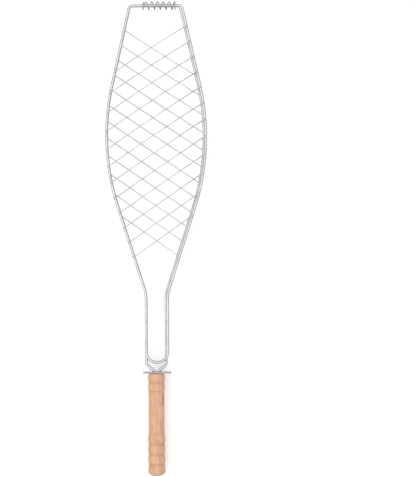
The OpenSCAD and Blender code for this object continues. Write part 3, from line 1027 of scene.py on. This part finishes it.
# %% Marks, grooves and end grain
dark = None
for aside, down, half_w, half_l, strength in MARKS:
    local = s.stretched(centred, (1 / (half_w * MM), 1 / (half_l * MM), 1 / (MARK_REACH * MM)),
                        place=(-aside / half_w, down / half_l, -MARK_HIGH / MARK_REACH))
    ball = s.add("TexGradient", out=1, i0=local, settings={"gradient_type": "SPHERICAL"})
    mark = s.math("MULTIPLY", s.math("POWER", ball, 0.7), strength, True)
    dark = mark if dark is None else s.math("MAXIMUM", dark, mark)
ragged = s.math("MULTIPLY", dark, s.spread(coarse, 0.4, 0.56, 0.35, 1.2), True)
colour = s.blend(ragged, colour, (0.36, 0.165, 0.095, 1))

# Painted shade: the grooves and the bore are darkened by how deep they lie.
groove_at = s.add("Attribute", out=2, settings={"attribute_name": "groove"})
groove_shade = s.math("MULTIPLY", groove_at, s.spread(patch, 0.25, 0.75, 0.25, 0.5), True)
colour = s.blend(groove_shade, colour, (0.44, 0.235, 0.12, 1))
facing = s.add("SeparateXYZ", out=1, i0=s.add("TexCoord", out=1))
end_grain = s.spread(s.math("ABSOLUTE", facing), 0.72, 0.98)
pores = s.add("TexVoronoi", i0=centred, Scale=2600.0)
end_colour = s.blend(s.spread(pores, 0.1, 0.5), (0.36, 0.19, 0.11, 1), (0.52, 0.30, 0.19, 1))
end_colour = s.blend(s.math("MULTIPLY", late_wood, 0.4), end_colour, (0.34, 0.17, 0.095, 1))
colour = s.blend(s.math("MULTIPLY", end_grain, 0.75), colour, end_colour)

# %% Beech surface
turning = s.noise(s.stretched(centred, (6, 2600, 6)), 1.0, 2.0)
relief = s.math("ADD", s.math("MULTIPLY", fibre, 0.8), s.math("MULTIPLY", turning, 0.55))
relief = s.math("SUBTRACT", relief, s.math("MULTIPLY", fleck, 0.5))
bump = s.add("Bump", Strength=1.0, Distance=0.035 * MM, Height=relief)
rough = s.spread(coarse, 0.3, 0.7, 0.48, 0.62)
rough = s.math("ADD", rough, s.math("MULTIPLY", groove_shade, 0.12), True)
s.tree.links.new(colour, shader.inputs["Base Color"])
s.tree.links.new(rough, shader.inputs["Roughness"])
s.tree.links.new(bump, shader.inputs["Normal"])
shader.inputs["Specular IOR Level"].default_value = 0.35
print("beech nodes:", len(beech.node_tree.nodes))

# %% [markdown]
# ## Put everything on its body
#
# Each piece stands for the frame pieces it was built from and rides on their body: the lower half and
# the handle stay put, the lid swings on its hinge, and the ring slides.

# %% Bodies and finishes
def dress(piece, material, slot, body, *nodes):
    """Gives a piece its material, its body and the frame pieces that it stands for; slot is not used."""
    piece.data.materials.append(material)
    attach(piece, body)
    if nodes:
        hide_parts(*nodes)


dress(lower_outline, outline_steel, "frame_wire", "root", "lower_frame")
dress(lid_outline, outline_steel, "frame_wire", "lid", "lid_frame")
dress(lower_welds, weld_steel, "frame_wire", "root")
dress(lid_welds, weld_steel, "frame_wire", "lid")
dress(hinge_spring, spring_steel, "spring_wire", "root", "hinge_coil")
dress(lock_loop, ring_steel, "ring_wire", "lock_ring", "lock_ring")
dress(beech_handle, beech, "handle_wood", "root", "handle")
for piece, node in zip(lower_wires, LOWER_WIRES):
    dress(piece, cross_steel, "cross_wire", "root", node)
for piece, node in zip(lid_wires, LID_WIRES):
    dress(piece, cross_steel, "cross_wire", "lid", node)

# %% [markdown]
# ## A pale floor
#
# The basket rests on its lowest wires on a plain white table. It is lit from below like a light
# table, so that the thin wires cast next to no shadow. Its paper has a very faint mottle. What bright
# wire mirrors of it is dimmed, as dark cards beside the wire would do, and that gives each wire its
# grey edges.

# %% Floor
FLOOR_HALF = 6.0
FLOOR_CELLS = 12
TABLE_GLOW = 0.12
CARD_DIM = 0.42
table_points = [(FLOOR_HALF * (2 * i / FLOOR_CELLS - 1), FLOOR_HALF * (2 * j / FLOOR_CELLS - 1), 0)
                for j in range(FLOOR_CELLS + 1) for i in range(FLOOR_CELLS + 1)]
row = FLOOR_CELLS + 1
table_faces = [(j * row + i, j * row + i + 1, (j + 1) * row + i + 1, (j + 1) * row + i)
               for j in range(FLOOR_CELLS) for i in range(FLOOR_CELLS)]
table_mesh = bpy.data.meshes.new("white_table")
table_mesh.from_pydata(table_points, [], table_faces)
table = bpy.data.objects.new("white_table", table_mesh)
scene.collection.objects.link(table)
paper, s, shader = new_material("white_paper")
mottle = s.noise(s.add("TexCoord", out=3), 40.0, 3.0)
s.tree.links.new(s.blend(mottle, (0.90, 0.90, 0.905, 1), (0.93, 0.93, 0.93, 1)), shader.inputs["Base Color"])
shader.inputs["Roughness"].default_value = 0.85
shader.inputs["Specular IOR Level"].default_value = 0.1
shader.inputs["Emission Color"].default_value = (1, 1, 1, 1)
shader.inputs["Emission Strength"].default_value = TABLE_GLOW
nodes, links = paper.node_tree.nodes, paper.node_tree.links
mirrored = s.math("MULTIPLY", nodes.new("ShaderNodeLightPath").outputs["Is Glossy Ray"], CARD_DIM)
cards = nodes.new("ShaderNodeMixShader")
links.new(mirrored, cards.inputs[0])
links.new(shader.outputs[0], cards.inputs[1])
links.new(cards.outputs[0], next(n for n in nodes if n.type == "OUTPUT_MATERIAL").inputs[0])
table.data.materials.append(paper)
table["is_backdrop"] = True
print("floor at z = 0, basket's lowest wire at", round(cad_box[0].z / MM, 3), "mm")

# %% [markdown]
# ## Measure and finish
#
# The finished pieces have to fill the same box as the frame.

# %% Sizes and finish
new_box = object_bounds()
for name, box in (("frame", cad_box), ("pieces", new_box)):
    print(name, [[round(v / MM, 2) for v in corner] for corner in box])
